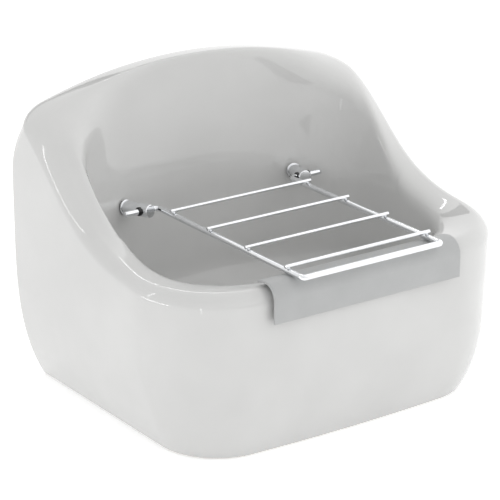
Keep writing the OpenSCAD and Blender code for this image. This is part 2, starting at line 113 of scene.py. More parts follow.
# materials
def makeGlaze():
    # fired white glaze on fireclay: a wet gloss, a little warm, with a faint orange peel
    made, tree, place, shader = newMaterial("glossWhiteGlaze")
    cloud = noiseAt(tree, place, 90 * mm, 3.0)
    tint = blendOf(tree, cloud, linear("#bfbfbe"), linear("#c4c4c3"))
    wire(tree, tint, "Color", shader, "Base Color")
    peel = noiseAt(tree, place, 9 * mm, 1.5, 0.4)
    slow = noiseAt(tree, place, 55 * mm, 1.0, 0.4)
    wide = bumpOf(tree, slow, 0.9 * mm, 0.35)
    fine = bumpOf(tree, peel, 0.05 * mm, 0.5)
    tree.links.new(wide.outputs["Normal"], fine.inputs["Normal"])
    wire(tree, fine, "Normal", shader, "Normal")
    sheen = spanOf(tree, noiseAt(tree, place, 25 * mm, 4.0), 0.03, 0.06)
    wire(tree, sheen, "Result", shader, "Roughness")
    shader.inputs["IOR"].default_value = 1.52
    return made


def makeBiscuit():
    # bare fired clay where the glaze is wiped off: chalky, cream, with iron specks
    made, tree, place, shader = newMaterial("bareFiredClay")
    cloud = noiseAt(tree, place, 30 * mm, 5.0, 0.6)
    tint = blendOf(tree, cloud, linear("#c9c2b4"), linear("#ddd7cb"))
    speck = noiseAt(tree, place, 1.1 * mm, 1.0)
    dots = blendOf(tree, speck, (0, 0, 0, 1), (1, 1, 1, 1), 0.70, 0.74)
    mixed = addNode(tree, "ShaderNodeMix", {0: (dots, "Color"), 6: (tint, "Color")},
                    {7: linear("#8a7c68")}, data_type="RGBA")
    wire(tree, mixed, 2, shader, "Base Color")
    grain = bumpOf(tree, noiseAt(tree, place, 0.8 * mm, 4.0, 0.7), 0.12 * mm, 0.6)
    wire(tree, grain, "Normal", shader, "Normal")
    shader.inputs["Roughness"].default_value = 0.86
    return made


def makeChrome():
    # bright chrome plate on steel: a hard mirror, only broken by faint polishing haze
    made, tree, place, shader = newMaterial("brightChromePlate")
    shader.inputs["Metallic"].default_value = 1.0
    haze = noiseAt(tree, place, 6 * mm, 4.0, 0.6)
    tint = blendOf(tree, haze, linear("#dfe1e3"), linear("#ebecee"))
    wire(tree, tint, "Color", shader, "Base Color")
    rough = spanOf(tree, haze, 0.045, 0.10)
    wire(tree, rough, "Result", shader, "Roughness")
    wave = bumpOf(tree, noiseAt(tree, place, 2.5 * mm, 2.0), 0.01 * mm, 0.4)
    wire(tree, wave, "Normal", shader, "Normal")
    return made


def makeGuardPlastic():
    # grey moulded ABS with a spark-eroded grain: soft sheen, fine texture
    made, tree, place, shader = newMaterial("grainedGreyAbs")
    cloud = noiseAt(tree, place, 40 * mm, 4.0, 0.6)
    tint = blendOf(tree, cloud, linear("#a0a1a1"), linear("#a6a7a7"))
    wire(tree, tint, "Color", shader, "Base Color")
    grain = noiseAt(tree, place, 0.7 * mm, 2.0, 0.6)  # drawn about twice as coarse as real grain
    wire(tree, bumpOf(tree, grain, 0.06 * mm, 0.5), "Normal", shader, "Normal")
    wire(tree, spanOf(tree, grain, 0.46, 0.60), "Result", shader, "Roughness")
    shader.inputs["IOR"].default_value = 1.53
    return made


def makeRubber(name, dark, light, grain, rough):
    made, tree, place, shader = newMaterial(name)
    cloud = noiseAt(tree, place, 8 * mm, 4.0, 0.6)
    wire(tree, blendOf(tree, cloud, linear(dark), linear(light)), "Color", shader, "Base Color")
    pores = noiseAt(tree, place, grain, 3.0, 0.7)
    wire(tree, bumpOf(tree, pores, 0.15 * grain, 0.7), "Normal", shader, "Normal")
    wire(tree, spanOf(tree, pores, rough - 0.06, rough + 0.06), "Result", shader, "Roughness")
    shader.inputs["IOR"].default_value = 1.5
    return made


def makeZinc():
    # bright zinc plate: blue-white, softly hazed, with fine drawing marks
    made, tree, place, shader = newMaterial("brightZincPlate")
    shader.inputs["Metallic"].default_value = 1.0
    patch = noiseAt(tree, place, 4 * mm, 4.0, 0.7)
    wire(tree, blendOf(tree, patch, linear("#9aa0a6"), linear("#bcc1c6")), "Color", shader, "Base Color")
    wire(tree, spanOf(tree, patch, 0.26, 0.42), "Result", shader, "Roughness")
    fine = noiseAt(tree, place, 0.5 * mm, 2.0, 0.6, (1, 0.2, 1))
    wire(tree, bumpOf(tree, fine, 0.01 * mm, 0.5), "Normal", shader, "Normal")
    return made


def makeStainless():
    # turned stainless steel: grey mirror crossed by fine lathe rings round the waste
    made, tree, place, shader = newMaterial("turnedStainless")
    shader.inputs["Metallic"].default_value = 1.0
    centre = addNode(tree, "ShaderNodeMapping", {"Vector": (place, "Object")},
                     {"Location": (0, -wasteY, 0)}, vector_type="POINT")
    rings = addNode(tree, "ShaderNodeTexWave", {"Vector": (centre, "Vector")},
                    {"Scale": 1 / (2.2 * mm) / 20, "Distortion": 1.2, "Detail": 3.0},
                    wave_type="RINGS", rings_direction="Z")
    patch = noiseAt(tree, place, 6 * mm, 4.0, 0.7)
    wire(tree, blendOf(tree, patch, linear("#b4b5b6"), linear("#cbcbcb")), "Color", shader, "Base Color")
    wire(tree, spanOf(tree, rings, 0.20, 0.30), "Result", shader, "Roughness")
    wire(tree, bumpOf(tree, rings, 0.01 * mm, 0.35), "Normal", shader, "Normal")
    return made


def makeBrass():
    # cast brass, turned on its faces: yellow, dull, slightly tarnished
    made, tree, place, shader = newMaterial("castBrass")
    shader.inputs["Metallic"].default_value = 1.0
    patch = noiseAt(tree, place, 9 * mm, 5.0, 0.7)
    wire(tree, blendOf(tree, patch, linear("#a98b52"), linear("#cdb074")), "Color", shader, "Base Color")
    wire(tree, spanOf(tree, patch, 0.30, 0.46), "Result", shader, "Roughness")
    sand = noiseAt(tree, place, 1.2 * mm, 3.0, 0.6)
    wire(tree, bumpOf(tree, sand, 0.05 * mm, 0.5), "Normal", shader, "Normal")
    return made


wasteY = (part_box("waste_body")[0].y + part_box("waste_body")[1].y) / 2
glaze = makeGlaze()
biscuit = makeBiscuit()
chrome = makeChrome()
guardAbs = makeGuardPlastic()
foam = makeRubber("blackCellFoam", "#232323", "#343434", 1.2 * mm, 0.9)
sealRubber = makeRubber("mouldedSealRubber", "#181818", "#262626", 0.6 * mm, 0.62)
blackNylon = makeRubber("blackNylon", "#0c0c0d", "#151516", 0.4 * mm, 0.36)
zinc = makeZinc()
stainless = makeStainless()
brass = makeBrass()
print("materials made")


# mesh helpers
def pieceFrom(name, points, faces, materials, slots=None, sharp=35):
    mesh = bpy.data.meshes.new(name)
    mesh.from_pydata([tuple(map(float, p)) for p in points], [], [tuple(map(int, f)) for f in faces])
    for one in materials:
        mesh.materials.append(one)
    if slots is not None:
        mesh.polygons.foreach_set("material_index", np.asarray(slots, dtype=np.int32))
    mesh.validate()
    smoothMesh(mesh, sharp)
    made = bpy.data.objects.new(name, mesh)
    bpy.context.scene.collection.objects.link(made)
    return made


def smoothMesh(mesh, sharp=35):
    mesh.polygons.foreach_set("use_smooth", [True] * len(mesh.polygons))
    mesh.set_sharp_from_angle(angle=math.radians(sharp))
    mesh.update()


def applyAll(made, sharp=35):
    # turns the modifiers' result into the piece's own mesh
    bpy.context.view_layer.update()
    result = bpy.data.meshes.new_from_object(made.evaluated_get(bpy.context.evaluated_depsgraph_get()))
    made.modifiers.clear()
    old = made.data
    made.data = result
    bpy.data.meshes.remove(old)
    smoothMesh(made.data, sharp)
    return made


def cutWith(made, cutter):
    cut = made.modifiers.new("cut", "BOOLEAN")
    cut.operation = "DIFFERENCE"
    cut.solver = "EXACT"
    cut.object = cutter
    applyAll(made)
    bpy.data.objects.remove(cutter)
    return made


def turned(name, profile, place, materials, segments=64, sharp=35, slots=None):
    # a closed profile of (radius, height) spun about its own axis, then put in place
    angles = np.linspace(0, 2 * math.pi, segments, endpoint=False)
    ring = len(profile)
    points = [(r * math.cos(a), r * math.sin(a), z) for a in angles for r, z in profile]
    faces, marks = [], []
    for s in range(segments):
        t = (s + 1) % segments
        for k in range(ring):
            n = (k + 1) % ring
            faces.append((s * ring + k, t * ring + k, t * ring + n, s * ring + n))
            marks.append(slots[k] if slots else 0)
    made = pieceFrom(name, points, faces, materials, marks, sharp)
    finishShell(made, place, sharp)
    return made


def finishShell(made, place=None, sharp=35):
    # merges doubles, drops empty faces, turns the normals outwards and sets the place in the mesh
    shell = bmesh.new()
    shell.from_mesh(made.data)
    bmesh.ops.remove_doubles(shell, verts=shell.verts, dist=1e-6)
    bmesh.ops.dissolve_degenerate(shell, edges=shell.edges, dist=1e-7)
    bmesh.ops.recalc_face_normals(shell, faces=shell.faces)
    if place is not None:
        bmesh.ops.transform(shell, matrix=place, verts=shell.verts)
    shell.to_mesh(made.data)
    shell.free()
    smoothMesh(made.data, sharp)


def rounded(corners, radius, steps=4):
    # a closed profile with its corners rounded; each corner is (r, z) or (r, z, its own radius)
    out = []
    count = len(corners)
    for k in range(count):
        here = np.array(corners[k][:2], float)
        size = corners[k][2] if len(corners[k]) > 2 else radius
        before = np.array(corners[k - 1][:2], float) - here
        after = np.array(corners[(k + 1) % count][:2], float) - here
        lb, la = np.linalg.norm(before), np.linalg.norm(after)
        turn = math.acos(max(-1, min(1, float(before @ after) / (lb * la))))
        back = min(size / max(math.tan(turn / 2), 1e-6), lb * 0.45, la * 0.45)
        if size <= 0 or back <= 1e-9:
            out.append(tuple(here))
            continue
        first, last = here + before / lb * back, here + after / la * back
        for s in range(steps + 1):
            t = s / steps
            spot = (1 - t) ** 2 * first + 2 * t * (1 - t) * here + t * t * last
            out.append((max(0.0, float(spot[0])), float(spot[1])))
    return out


def softened(node, name, material, width, body="sink", slot=None, segments=2, sharp=30):
    # a merged copy of a CAD node with its edges rounded
    made = bpy.data.objects.new(name, frame["nodes"][node].data.copy())
    made.data.materials.clear()
    made.data.materials.append(material)
    bpy.context.scene.collection.objects.link(made)
    shell = bmesh.new()
    shell.from_mesh(made.data)
    bmesh.ops.remove_doubles(shell, verts=shell.verts, dist=2e-6)
    bmesh.ops.dissolve_limit(shell, angle_limit=math.radians(0.5), verts=shell.verts, edges=shell.edges)
    shell.to_mesh(made.data)
    shell.free()
    edge = made.modifiers.new("edge", "BEVEL")
    edge.width = width
    edge.segments = segments
    edge.limit_method = "ANGLE"
    edge.angle_limit = math.radians(40)
    applyAll(made, sharp)
    return settle(made, body, slot, node)


def settle(made, body, slot, *nodes):
    # a finished piece rides on its body and stands for its CAD nodes
    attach(made, body)
    if nodes:
        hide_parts(*nodes)
    return made


# the ceramic bowl
bowlForm = {
    "baseWidth": 412, "baseDepth": 342, "rimHeight": 202, "wall": 11,
    "rimSide": 47.7, "rimFront": 40, "splashDepth": 43, "floorHeight": 60,
    "flarePower": 3.2, "drawIn": 45, "drawPower": 6.3, "crown2": 7.2, "crown4": 0.24,
    "frontBow": 3.5, "frontZone": 162.6, "baseCorner": 76, "rimCorner": 109, "cornerGrow": 130,
    "topCorner": 31, "topFrom": 122, "topOver": 70, "armY": 88, "armSpread": 25.7, "armPower": 0.51,
    "crestBack": 23.8, "crestSide": 16.4, "crestFront": 20, "crestCorner": 30.6,
    "roundBack": 2, "roundSide": 17.4, "roundFront": 18,
    "rollBack": 44, "rollSide": 27, "rollFront": 35.5, "rimFall": 0.1,
    "reachBack": 0.6, "reachSide": 0.7, "reachFront": 0.8,
    "dropBack": 0.65, "dropSide": 0.75, "dropFront": 0.85,
    "innerDraft": 0.09, "frontDraft": 0.12, "wingFlare": 20, "wingHeight": 80, "backN": 4, "frontN": 2.6,
    "backSag": 20, "lean1": 0.08, "lean2": 0.00035, "floorRadius": 55, "floorFall": 10,
    "padRadius": 44, "holeRadius": 26, "holeEdge": 3, "floorThick": 12, "capHeight": 18,
    "baseEdge": 2.5, "backEdge": 2.5, "underEdge": 1, "padStep": 4, "footEdge": 1.0,
    "cornerAt": 45, "cornerWide": 14, "backTo": 70, "backFade": 45, "frontFrom": 115, "frontFade": 40,
}
stepsRound = {"outer": 34, "round": 12, "roll": 22, "inner": 22, "fillet": 14, "hidden": 14, "edge": 4,
              "solve": 13}
bowlPlan = [(0, 43.6, 42), (44.2, 45.8, 9), (46.4, 105, 46), (106.2, 180, 54)]  # degrees and counts
form = bowlForm
bowlLow, bowlHigh = [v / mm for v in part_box("bowl")]
bodyW = bowlHigh.x - bowlLow.x
bodyD = -bowlLow.y
baseZ = bowlLow.z
bodyH = bowlHigh.z - baseZ
midY = form["frontZone"] - bodyD
pinPoint = Vector(frame["joints"][0]["pos_m"]) / mm
pinHeight = pinPoint.z - baseZ


def clamp01(t):
    return np.clip(t, 0, 1)


def smooth(t):
    c = clamp01(t)
    return c * c * (3 - 2 * c)


def mix(a, b, t):
    return a + (b - a) * t


def halfWidth(h):
    low = np.power(clamp01(1 - h / form["rimHeight"]), form["flarePower"])
    high = np.power(clamp01((h - form["rimHeight"]) / (bodyH - form["rimHeight"])), form["drawPower"])
    return bodyW / 2 - (bodyW - form["baseWidth"]) / 2 * low - form["drawIn"] * high


def depthAt(h):
    low = np.power(clamp01(1 - h / form["rimHeight"]), form["flarePower"])
    return bodyD - (bodyD - form["baseDepth"]) * low


def backCorner(h):
    grow = clamp01((h - bodyH + form["topFrom"]) / form["topOver"]) ** 2
    return np.maximum(form["backEdge"], form["topCorner"] * grow)


def roundRect(a, b, r, s, c):
    dx, dy = s * a, c * b
    size = np.hypot(dx, dy)
    ux, uy = dx / size, dy / size
    far = 1e6
    ta = np.where(ux > 1e-4, a / np.maximum(ux, 1e-4), far)
    tb = np.where(uy > 1e-4, b / np.maximum(uy, 1e-4), far)
    px, py = a - r, b - r
    along = ux * px + uy * py
    tc = along + np.sqrt(np.maximum(0, along * along - px * px - py * py + r * r))
    t = np.where(uy * ta <= py, ta, np.where(ux * tb <= px, tb, tc))
    return t * ux, t * uy


def oval(a, b, n, s, c):
    k = np.power(np.power(s, n) + np.power(c, n), -1 / n)
    return a * k * s, b * k * c


def outerPoint(p, h, inset=0.0):
    h = h + 0 * p
    a = halfWidth(h) - inset
    s, c = np.abs(np.sin(np.radians(p))), np.abs(np.cos(np.radians(p)))
    f = depthAt(h) - form["frontBow"] + midY - inset
    r = mix(form["baseCorner"], form["rimCorner"], smooth(h / form["cornerGrow"])) - inset
    bx, by = roundRect(a, -midY - inset, np.maximum(0.01, backCorner(h) - inset), s, c)
    fx, fy = roundRect(a, f, r, s, c)
    flat = clamp01(1 - (np.minimum(fx, a - r) / (a - r)) ** 2)
    frontY = midY - fy - form["frontBow"] * flat * clamp01(fy / f) ** 6
    back = p <= 90
    return np.stack([np.where(back, bx, fx), np.where(back, midY + by, frontY), h], -1)


def innerPoint(p, h, grow=0.0):
    h = h + 0 * p
    s, c = np.abs(np.sin(np.radians(p))), np.abs(np.cos(np.radians(p)))
    low, up = np.maximum(0, form["rimHeight"] - h), h - pinHeight
    wing = form["wingFlare"] * clamp01((h - form["rimHeight"]) / form["wingHeight"])
    a = bodyW / 2 - form["rimSide"] - form["innerDraft"] * low + wing + grow
    back = -form["splashDepth"] + form["lean1"] * up + form["lean2"] * np.maximum(0, up) ** 2 + grow
    front = bodyD - form["rimFront"] - form["frontDraft"] * low + grow
    bx, by = oval(a, back - midY, form["backN"], s, c)
    sag = form["backSag"] * (bx / a) ** 2 * by / (back - midY)
    fx, fy = oval(a, front + midY, form["frontN"], s, c)
    isBack = p <= 90
    return np.stack([np.where(isBack, bx, fx), np.where(isBack, midY + by - sag, midY - fy), h], -1)


def aroundRim(p, back, side, front):
    behind = smooth((form["backTo"] - p) / form["backFade"])
    ahead = smooth((p - form["frontFrom"]) / form["frontFade"])
    return side + (back - side) * behind + (front - side) * ahead


def armShare(y):
    return np.power(1 / (1 + np.exp((-y - form["armY"]) / form["armSpread"])), form["armPower"])


def crestHeight(x, y):
    crown = bodyH - form["crown2"] * (x / 100) ** 2 - form["crown4"] * (x / 100) ** 4
    share = np.minimum(1, armShare(y) / armShare(-form["crestBack"]))
    return mix(form["rimHeight"], crown, share)


def bowlRows(p):
    # every row of the ceramic's closed section, as one array of points per row
    roundH = aroundRim(p, form["roundBack"], form["roundSide"], form["roundFront"])
    rollH = aroundRim(p, form["rollBack"], form["rollSide"], form["rollFront"])
    crestIn = aroundRim(p, form["crestBack"], form["crestSide"], form["crestFront"])
    crestIn = mix(crestIn, form["crestCorner"], np.exp(-((p - form["cornerAt"]) / form["cornerWide"]) ** 2))
    z = np.where(p < 90, bodyH, form["rimHeight"]) + 0.0 * p
    for step in range(stepsRound["solve"]):  # the crest height settles as its place moves
        o, i = outerPoint(p, z - roundH), innerPoint(p, z - rollH)
        k = crestIn / np.hypot(i[:, 0] - o[:, 0], i[:, 1] - o[:, 1])
        x, y = mix(o[:, 0], i[:, 0], k), mix(o[:, 1], i[:, 1], k)
        z = crestHeight(x, y)
    crest = np.stack([x, y, z], -1)
    o, i = outerPoint(p, z - roundH), innerPoint(p, z - rollH)
    up = i - innerPoint(p, z - rollH - 1)
    up = up / np.linalg.norm(up, axis=1)[:, None]
    inward = np.stack([i[:, 0] - crest[:, 0], i[:, 1] - crest[:, 1], 0 * z], -1)
    fall = np.linalg.norm(inward, axis=1) * form["rimFall"]
    reach = aroundRim(p, form["reachBack"], form["reachSide"], form["reachFront"])
    drop = aroundRim(p, form["dropBack"], form["dropSide"], form["dropFront"])
    b = crest + reach[:, None] * (inward - np.stack([0 * z, 0 * z, fall], -1))
    c = i + up * (rollH * drop)[:, None]
    foot = form["floorHeight"] + form["floorFall"] + form["floorRadius"]
    edge = form["baseEdge"]
    rows, kinds = [], []

    def put(row, kind):
        rows.append(row)
        kinds.append(kind)

    for k in range(stepsRound["edge"]):  # rounded edge of the base
        t = math.pi / 2 * k / stepsRound["edge"]
        put(outerPoint(p, edge * (1 - math.cos(t)), edge * (1 - math.sin(t))), 0 if k else 1)
    for k in range(stepsRound["outer"]):
        put(outerPoint(p, mix(edge, z - roundH, k / stepsRound["outer"])), 0)
    for k in range(stepsRound["round"]):
        t = math.pi / 2 * k / stepsRound["round"]
        f = 1 - math.cos(t)
        put(np.stack([mix(o[:, 0], crest[:, 0], f), mix(o[:, 1], crest[:, 1], f),
                      mix(o[:, 2], z, math.sin(t))], -1), 0)
    for k in range(stepsRound["roll"]):
        t = k / stepsRound["roll"]
        put((1 - t) ** 3 * crest + 3 * (1 - t) ** 2 * t * b + 3 * (1 - t) * t * t * c + t ** 3 * i, 0)
    for k in range(stepsRound["inner"]):
        put(innerPoint(p, mix(z - rollH, foot, k / stepsRound["inner"])), 0)
    for k in range(stepsRound["fillet"] + 1):
        put(floorPoint(p, math.pi / 2 * k / stepsRound["fillet"], 0, foot), 0)
    hole, lip, low = form["holeRadius"], form["holeEdge"], form["underEdge"]
    top, under = form["floorHeight"], form["floorHeight"] - form["floorThick"]
    put(floorRing(p, form["padRadius"], top, foot), 0)
    put(floorRing(p, (form["padRadius"] + hole + lip) / 2, top, foot), 0)
    for k in range(stepsRound["edge"] + 1):  # rounded lip of the waste hole
        t = math.pi / 2 * k / stepsRound["edge"]
        put(floorRing(p, hole + lip * (1 - math.sin(t)), top - lip * (1 - math.cos(t)), foot), 0)
    for k in range(stepsRound["edge"] + 1):
        t = math.pi / 2 * k / stepsRound["edge"]
        put(floorRing(p, hole + low - low * math.cos(t), under + low - low * math.sin(t), foot), 1)
    put(floorRing(p, form["padRadius"] + form["padStep"], under, foot), 1)
    for k in range(stepsRound["fillet"] // 2, -1, -1):
        put(floorPoint(p, math.pi * k / stepsRound["fillet"], form["wall"], foot), 1)
    ceiling = z - rollH - form["capHeight"]
    for k in range(1, stepsRound["hidden"] + 1):
        put(innerPoint(p, mix(foot, ceiling, k / stepsRound["hidden"]), form["wall"]), 1)
    for k in range(stepsRound["hidden"]):
        put(outerPoint(p, mix(ceiling, form["footEdge"], k / stepsRound["hidden"]), form["wall"]), 1)
    put(outerPoint(p, 0.0, form["wall"] - form["footEdge"]), 1)
    return np.array(rows), kinds


def floorPoint(p, t, grow, foot):
    r = form["floorRadius"] + grow
    q = innerPoint(p, foot + 0 * p, grow)
    inward = r * (1 - math.cos(t))
    size = np.hypot(q[:, 0], q[:, 1] - wasteY / mm)
    return np.stack([mix(q[:, 0], 0, inward / size), mix(q[:, 1], wasteY / mm, inward / size),
                     foot - r * math.sin(t) + 0 * p], -1)


def floorRing(p, r, h, foot):
    q = innerPoint(p, foot + 0 * p)
    size = np.hypot(q[:, 0], q[:, 1] - wasteY / mm)
    return np.stack([q[:, 0] * r / size, wasteY / mm + (q[:, 1] - wasteY / mm) * r / size, h + 0 * p], -1)


def makeBowl():
    plan = np.concatenate([np.linspace(*part) for part in bowlPlan])
    right, kinds = bowlRows(plan)
    left = right[:, -2:0:-1, :] * np.array([-1, 1, 1])
    rings = np.concatenate([right, left], axis=1)
    rows, around = rings.shape[:2]
    points = (rings.reshape(-1, 3) + np.array([0, 0, baseZ])) * mm
    faces, slots = [], []
    for v in range(rows):
        w = (v + 1) % rows
        for u in range(around):
            n = (u + 1) % around
            faces.append((v * around + u, w * around + u, w * around + n, v * around + n))
            slots.append(kinds[v])
    made = pieceFrom("ceramicBowl", points, faces, [glaze, biscuit], slots, 40)
    finishShell(made, None, 40)
    return made


# over and past: how far a cutter stands out of the panel; lip and corner: points on its rounds
cutterForm = {"over": 1.0, "past": 1.5, "lip": 5, "corner": 6}


def panelCutter(name, middle, wide, high, corner, edge, thick):
    # cuts an opening with rounded corners and softened lips through the upright rear panel
    steps = cutterForm["corner"]
    depth = [(cutterForm["over"], edge)] + [(-edge * (1 - math.cos(t)), edge * (1 - math.sin(t)))
                                            for t in np.linspace(0, math.pi / 2, cutterForm["lip"])]
    depth += [(-thick + edge * (1 - math.cos(t)), edge * (1 - math.sin(t)))
              for t in np.linspace(math.pi / 2, 0, cutterForm["lip"])]
    depth += [(-thick - cutterForm["past"], edge)]
    loops = []
    for y, grow in depth:
        w, h, r = wide / 2 + grow, high / 2 + grow, corner + grow
        loop = []
        for q, (sx, sz) in enumerate([(1, 1), (-1, 1), (-1, -1), (1, -1)]):
            for k in range(steps + 1):
                t = math.radians(90 * q + 90 * k / steps)
                loop.append((middle[0] + sx * (w - r) + r * math.cos(t), y,
                             middle[1] + sz * (h - r) + r * math.sin(t)))
        loops.append(loop)
    count = len(loops[0])
    points = [np.array(p) * mm for loop in loops for p in loop]
    faces = [tuple(range(count)), tuple(range(len(points) - 1, len(points) - count - 1, -1))]
    for a in range(len(loops) - 1):
        for k in range(count):
            n = (k + 1) % count
            faces.append((a * count + k, (a + 1) * count + k, (a + 1) * count + n, a * count + n))
    made = pieceFrom(name, points, faces, [glaze, biscuit], [1] * len(faces))
    finishShell(made)
    return made


bowlOpenings = {
    "serviceWide": 92, "serviceHigh": 74, "notchWide": 150, "notchHigh": 92,
    "fixingSpan": 280, "fixingRadius": 7, "studHole": 5,
    "studFrom": -60, "studTo": -28, "serviceCorner": 6, "serviceEdge": 2, "fixingEdge": 1,
    "notchCorner": 12, "notchEdge": 2,
}
postFit = {"rise": 4.6, "toe": 14.9, "front": 9.9, "ringThick": 2.5}


def postPlace(side):
    # local +Z runs along the post to its front end, and 0 is the pin's axis
    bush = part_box("hinge_bush_left" if side < 0 else "hinge_bush_right")
    spot = Vector(((bush[0].x + bush[1].x) / 2, pinPoint.y * mm, pinPoint.z * mm))
    turn = Matrix.Rotation(math.radians(-side * postFit["toe"]), 4, "Z")
    tip = Matrix.Rotation(math.radians(90 - postFit["rise"]), 4, "X")
    return Matrix.Translation(spot) @ turn @ tip


bowl = makeBowl()
print("bowl surface made", len(bowl.data.polygons))
hole = bowlOpenings
for side in (-1, 1):
    postX = postPlace(side).translation.x / mm
    service = panelCutter("serviceCut", (postX, pinPoint.z), hole["serviceWide"], hole["serviceHigh"],
                          hole["serviceCorner"], hole["serviceEdge"], form["wall"])
    cutWith(bowl, service)
    fixing = panelCutter("fixingCut", (side * hole["fixingSpan"] / 2, 0), 2 * hole["fixingRadius"],
                         2 * hole["fixingRadius"], hole["fixingRadius"], hole["fixingEdge"],
                         form["wall"])
    cutWith(bowl, fixing)
    drill = [(0, hole["studFrom"]), (hole["studHole"], hole["studFrom"]),
             (hole["studHole"], hole["studTo"]), (0, hole["studTo"])]
    cutWith(bowl, turned("studCut", [(r * mm, z * mm) for r, z in drill], postPlace(side),
                         [glaze, biscuit], 32, slots=[1, 1, 1, 1]))
notch = panelCutter("notchCut", (0, baseZ), hole["notchWide"], 2 * hole["notchHigh"], hole["notchCorner"],
                    hole["notchEdge"], form["wall"])
cutWith(bowl, notch)
smoothMesh(bowl.data, 40)
settle(bowl, "sink", "glazed_ceramic", "bowl")
print("bowl cut", len(bowl.data.polygons))


# the rim guard
guardForm = {"thick": 3, "drop": 45.4, "bend": 19, "tailBend": 35, "tailAngle": 25, "edge": 1.1}


def makeGuard():
    low, high = [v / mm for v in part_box("rim_guard")]
    face, top, g = low.y, high.z, guardForm

    def outline(inset):
        out = [(face + inset, top - g["drop"])]
        for t in np.linspace(0, 90, 31):
            t = math.radians(t)
            out.append((face + g["bend"] - (g["bend"] - inset) * math.cos(t),
                        top - g["bend"] + (g["bend"] - inset) * math.sin(t)))
        for t in np.linspace(0, g["tailAngle"], 11)[1:]:
            t = math.radians(t)
            out.append((face + g["bend"] + (g["tailBend"] - inset) * math.sin(t),
                        top - g["tailBend"] + (g["tailBend"] - inset) * math.cos(t)))
        return out

    section = outline(0) + outline(g["thick"])[::-1]
    count = len(section)
    points = [np.array((x, y, z)) * mm for x in (low.x, high.x) for y, z in section]
    faces = []
    half = count // 2
    for k in range(half - 1):  # the ends are strips across the sheet
        faces.append((k, k + 1, count - 2 - k, count - 1 - k))
        faces.append((2 * count - 1 - k, 2 * count - 2 - k, count + k + 1, count + k))
    for k in range(count):
        n = (k + 1) % count
        faces.append((k, count + k, count + n, n))
    made = pieceFrom("rimGuard", points, faces, [guardAbs])
    finishShell(made)
    edge = made.modifiers.new("edge", "BEVEL")
    edge.width = g["edge"] * mm
    edge.segments = 4
    edge.limit_method = "ANGLE"
    edge.angle_limit = math.radians(40)
    applyAll(made, 40)
    return settle(made, "sink", "guard_plastic", "rim_guard")


makeGuard()
softened("rim_cushion", "rimCushion", foam, 1.2 * mm, slot="foam_rubber")
softened("guard_pad_left", "guardPadLeft", foam, 1.0 * mm, slot="foam_rubber")
softened("guard_pad_right", "guardPadRight", foam, 1.0 * mm, slot="foam_rubber")
print("guard made")


# the bucket grid, by geometry nodes
def newTree(name, inputs):
    tree = bpy.data.node_groups.new(name, "GeometryNodeTree")
    tree.interface.new_socket("Geometry", in_out="INPUT", socket_type="NodeSocketGeometry")
    for label, kind in inputs:
        tree.interface.new_socket(label, in_out="INPUT", socket_type=kind)
    tree.interface.new_socket("Geometry", in_out="OUTPUT", socket_type="NodeSocketGeometry")
    return tree, addNode(tree, "NodeGroupInput"), addNode(tree, "NodeGroupOutput")


def endTree(tree, last, output, source, sink):
    # realized, then given its material, because the export drops instances
    real = addNode(tree, "GeometryNodeRealizeInstances", {"Geometry": (last, output)})
    final = addNode(tree, "GeometryNodeSetMaterial",
                    {"Geometry": (real, 0), "Material": (source, "Material")})
    tree.links.new(final.outputs[0], sink.inputs[0])


def runTree(tree, name, data, values, sharp=35):
    # hangs the tree on an object, sets its inputs, and keeps the result as a plain mesh
    host = bpy.data.objects.new(name, data)
    bpy.context.scene.collection.objects.link(host)
    worker = host.modifiers.new(name, "NODES")
    worker.node_group = tree
    for item in tree.interface.items_tree:
        if item.item_type == "SOCKET" and item.in_out == "INPUT" and item.name in values:
            worker[item.identifier] = values[item.name]
    bpy.context.view_layer.update()
    result = bpy.data.meshes.new_from_object(host.evaluated_get(bpy.context.evaluated_depsgraph_get()))
    host.modifiers.clear()
    bpy.data.objects.remove(host)
    made = bpy.data.objects.new(name, result)
    bpy.context.scene.collection.objects.link(made)
    result.name = name
    finishShell(made, None, sharp)
    return made


def curveThrough(name, points, sizes):
    curve = bpy.data.curves.new(name, "CURVE")
    curve.dimensions = "3D"
    line = curve.splines.new("POLY")
    line.points.add(len(points) - 1)
    for spot, point, size in zip(line.points, points, sizes):
        spot.co = (*point, 1)
        spot.radius = size
    return curve


def rodTree():
    tree, source, sink = newTree("bentRod", [("Rod Radius", "NodeSocketFloat"), ("Sides", "NodeSocketInt"),
                                             ("Material", "NodeSocketMaterial")])
    ring = addNode(tree, "GeometryNodeCurvePrimitiveCircle",
                   {"Radius": (source, "Rod Radius"), "Resolution": (source, "Sides")})
    tube = addNode(tree, "GeometryNodeCurveToMesh",
                   {"Curve": (source, "Geometry"), "Profile Curve": (ring, "Curve")}, {"Fill Caps": True})
    if "Scale" in tube.inputs:
        size = addNode(tree, "GeometryNodeInputRadius")
        tree.links.new(size.outputs[0], tube.inputs["Scale"])
    endTree(tree, tube, "Mesh", source, sink)
    return tree


gridForm = {"bend": 8, "corner": 3.9, "endChamfer": 0.6, "crossOver": 4.6, "sides": 40, "weldWide": 1.9,
            "weldHigh": 1.0}
rodLow, rodHigh = [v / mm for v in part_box("grid_frame")]
rodRadius = (rodHigh.z - rodLow.z) / 2
firstRod = [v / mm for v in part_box("grid_rod_1")]
secondRod = [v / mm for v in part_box("grid_rod_2")]
crossRadius = (firstRod[1].z - firstRod[0].z) / 2
crossHalf = firstRod[1].x
sideX = crossHalf - gridForm["crossOver"]
barY = rodLow.y + rodRadius


